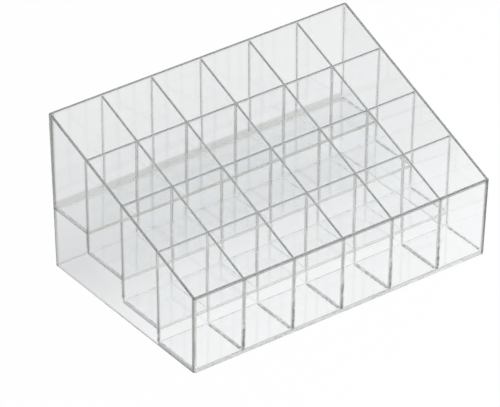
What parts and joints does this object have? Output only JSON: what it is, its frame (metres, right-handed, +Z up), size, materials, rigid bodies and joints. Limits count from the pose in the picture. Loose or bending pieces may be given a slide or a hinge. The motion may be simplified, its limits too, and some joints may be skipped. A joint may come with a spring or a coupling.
{
  "type": "vanity organizer",
  "caption": "Clear plastic vanity organizer with a grid of open-top compartments on stepped floors, a tall back, a low front and sloping sides.",
  "frame": {"origin": "on the table, under the middle of the rim", "axes": "+X along the front to the viewer's right, +Y from the low front to the tall back, +Z up"},
  "size_m": [0.145, 0.095, 0.07],
  "materials": {
    "clear_plastic": "clear, colourless and polished"
  },
  "bodies": {
    "root": {"back_panel": "clear_plastic", "front_panel": "clear_plastic", "left_side_panel": "clear_plastic", "right_side_panel": "clear_plastic", "rear_floor": "clear_plastic", "upper_middle_floor": "clear_plastic", "lower_middle_floor": "clear_plastic", "front_floor": "clear_plastic", "rear_row_divider": "clear_plastic", "middle_row_divider": "clear_plastic", "front_row_divider": "clear_plastic", "column_divider_1": "clear_plastic", "column_divider_2": "clear_plastic", "column_divider_3": "clear_plastic", "column_divider_4": "clear_plastic", "column_divider_5": "clear_plastic"}
  },
  "joints": []
}
